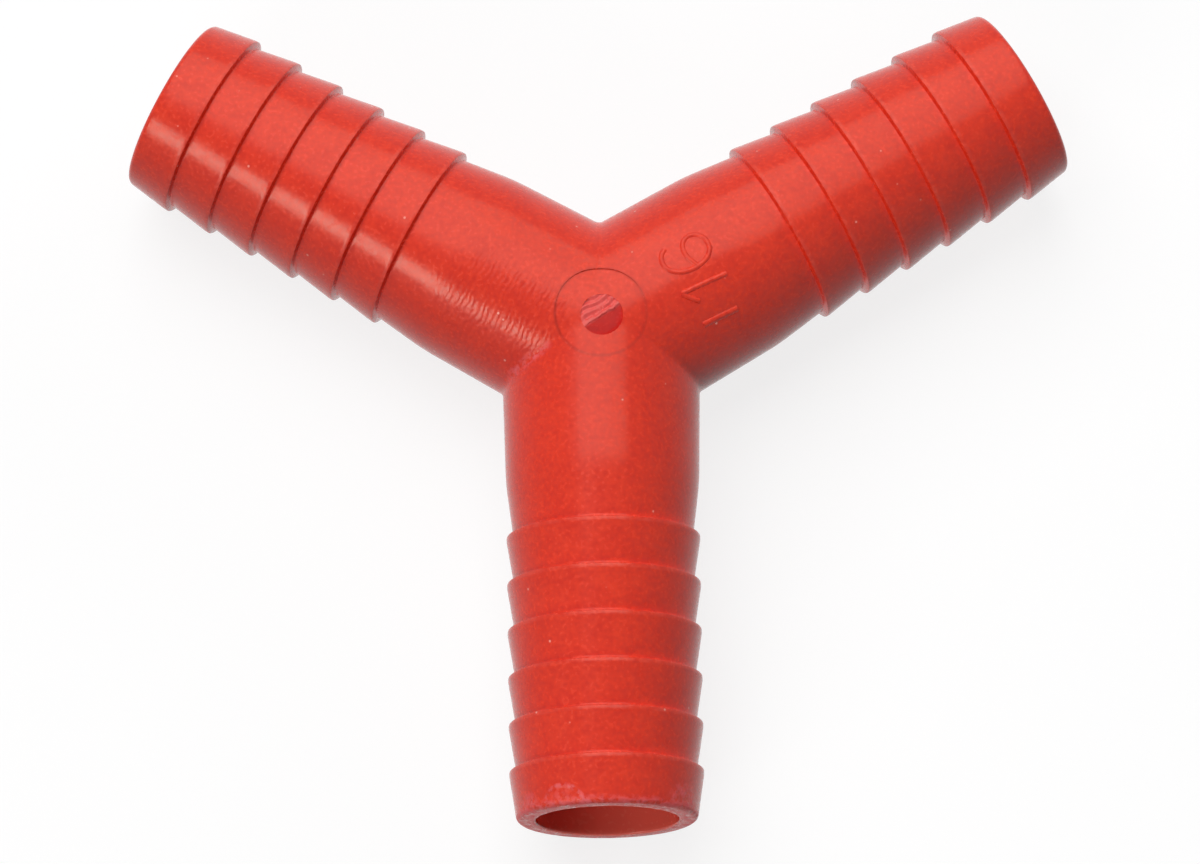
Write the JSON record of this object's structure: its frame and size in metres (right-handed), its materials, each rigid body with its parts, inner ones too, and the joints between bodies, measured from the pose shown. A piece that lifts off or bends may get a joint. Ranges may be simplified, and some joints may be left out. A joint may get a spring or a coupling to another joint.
{
  "type": "tubing y connector",
  "caption": "Moulded plastic Y piece that joins three soft tubes, with a barbed tail for each at 120 degrees and a plain bore through.",
  "frame": {"origin": "where the axes of the three bores cross, in the middle of the hub", "axes": "+Z out of the hub on the side of the gate mark, square to the plane of the three tails; -Y along the stem of the Y; +X to the right with the gate mark towards you and the stem down"},
  "size_m": [0.0836, 0.0724, 0.0174],
  "materials": {
    "red_plastic": "semi-gloss moulded"
  },
  "bodies": {
    "root": {"y_connector": "red_plastic"}
  },
  "joints": []
}
